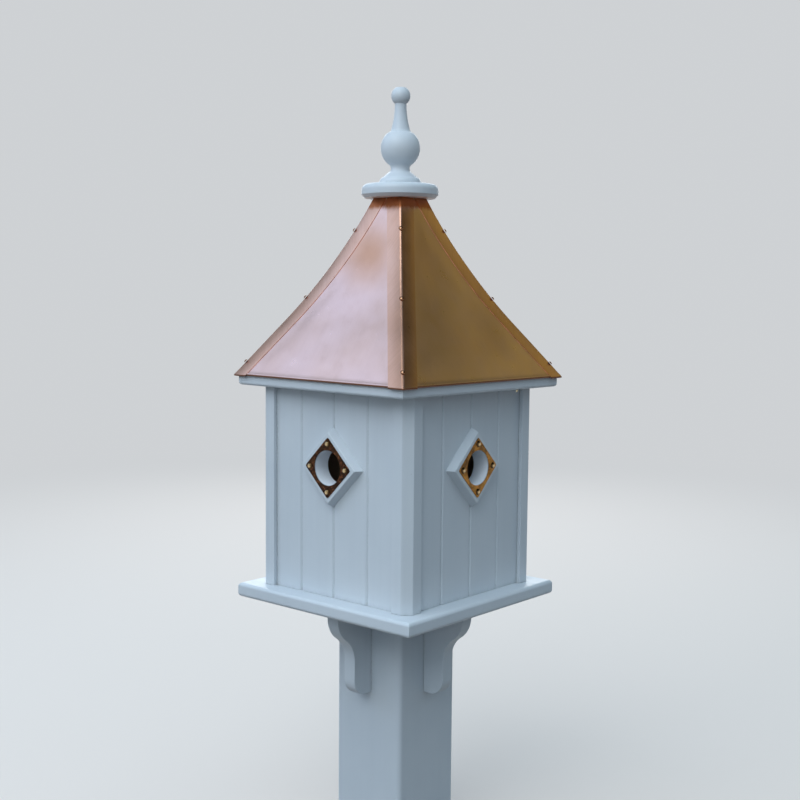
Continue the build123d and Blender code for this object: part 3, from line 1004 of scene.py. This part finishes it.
def stage_floor():
    """A pale floor that fades into the pale surroundings far from the object."""
    points, faces = lathe([(r / MM, 0.0) for r in FLOOR_RINGS], 64)
    mesh = mesh_from(points, faces)
    floor = bpy.data.objects.new("floor", mesh)
    bpy.context.scene.collection.objects.link(floor)
    material = bpy.data.materials.new("floor_pale")
    material.use_nodes = True
    tree = material.node_tree
    tree.nodes.clear()
    coords = node(tree, "TexCoord", out="Object")
    away = node(tree, "VectorMath", {0: coords}, out="Value", operation="LENGTH")
    seen = seen_directly(tree)
    near = node(tree, "BsdfDiffuse", {"Color": mixed(tree, seen, FLOOR_GLOW, FLOOR)})
    lift = node(tree, "Emission", {"Strength": math_node(tree, "MULTIPLY", seen, FLOOR_LIFT)})
    near = node(tree, "AddShader", {0: near, 1: lift})
    far_colour = mixed(tree, seen, FLOOR_GLOW, HORIZON)
    far = node(tree, "Emission", {"Color": far_colour, "Strength": 1.0})
    faded = remap_soft(tree, away, FADE_START, FADE_END)
    both = node(tree, "MixShader", {0: faded, 1: near, 2: far})
    output = tree.nodes.new("ShaderNodeOutputMaterial")
    tree.links.new(both, output.inputs["Surface"])
    mesh.materials.append(material)


def facing_share(tree, direction, side, reach):
    """How much a direction looks to one side, from 0 to 1 between the two cosines in reach."""
    ways = {0: direction, 1: Vector(side).normalized()}
    aligned = node(tree, "VectorMath", ways, out="Value", operation="DOT_PRODUCT")
    return remap_soft(tree, aligned, *reach)


def surroundings():
    """A pale backdrop for the camera, plain light from overhead, and what metal reflects."""
    world = bpy.data.worlds.new("studio")
    bpy.context.scene.world = world
    world.use_nodes = True
    tree = world.node_tree
    tree.nodes.clear()
    direction = node(tree, "TexCoord", out="Generated")
    backwards, height = split(tree, direction)[1:]
    darkness = facing_share(tree, direction, DARK_SIDE, DARK_REACH)
    upper = mixed(tree, darkness, OVERHEAD, DARK_CORNER)
    leaves = noise(tree, direction, 5, 2)
    card = mixed(tree, remap_soft(tree, leaves, *LEAF_SHARES), DIM_CARD, WARM_CARD)
    on_card = facing_share(tree, direction, WARM_SIDE, WARM_REACH)
    upper = mixed(tree, on_card, upper, card)
    shown = mixed(tree, remap_soft(tree, height, HORIZON_TOP, UPPER_START), HORIZON, upper)
    by_camera = node(tree, "LightPath", out="Is Camera Ray")
    shown = mixed(tree, by_camera, shown, HORIZON)
    ahead = remap_soft(tree, math_node(tree, "MULTIPLY", backwards, -1.0), *FRONT_REACH)
    low = mixed(tree, ahead, LOW_LIGHT, FRONT_LIGHT)
    plain = mixed(tree, remap(tree, height, 0.0, 1.0, 0, 1), low, HIGH_LIGHT)
    colour = mixed(tree, seen_directly(tree), plain, shown)
    back = node(tree, "Background", {"Color": colour, "Strength": 1.0})
    output = tree.nodes.new("ShaderNodeOutputWorld")
    tree.links.new(back, output.inputs["Surface"])


def softbox(name, direction, distance, size, power, colour):
    """A square area lamp of this many metres and watts that looks at the middle of the house."""
    lamp = bpy.data.lights.new(name, "AREA")
    lamp.shape = "SQUARE"
    lamp.size = size
    lamp.energy = power
    lamp.color = colour
    holder = bpy.data.objects.new(name, lamp)
    bpy.context.scene.collection.objects.link(holder)
    away = Vector(direction).normalized()
    holder.location = LAMP_TARGET + away * distance
    holder.rotation_mode = "QUATERNION"
    holder.rotation_quaternion = away.to_track_quat("Z", "Y")


def photo_camera():
    """The camera where the photo's was, as fitted to the outlines of the house."""
    data = bpy.data.cameras.new("photo_camera")
    data.sensor_width = SENSOR
    data.lens = LENS
    holder = bpy.data.objects.new("photo_camera", data)
    bpy.context.scene.collection.objects.link(holder)
    forward, right = Vector(FORWARD).normalized(), Vector(RIGHT).normalized()
    up = right.cross(forward).normalized()
    right = forward.cross(up)
    axes = Matrix((right, up, -forward)).transposed().to_4x4()
    holder.matrix_world = Matrix.Translation(EYE) @ axes
    bpy.context.scene.camera = holder


stage_floor()
surroundings()
softbox("key", (0.11, -0.68, 0.72), 3.2, 2.7, 50, (0.92, 1.0, 1.06))
softbox("fill", (0.60, -0.78, 0.18), 3.4, 2.2, 5, (0.86, 1.0, 1.10))
softbox("back", (-0.62, 0.70, 0.36), 3.4, 2.2, 40, (0.95, 1.0, 1.04))
softbox("left", (-0.70, -0.50, 0.52), 3.0, 1.7, 8.4, (0.76, 1.0, 1.46))
photo_camera()
bpy.context.scene.view_settings.view_transform = "Standard"
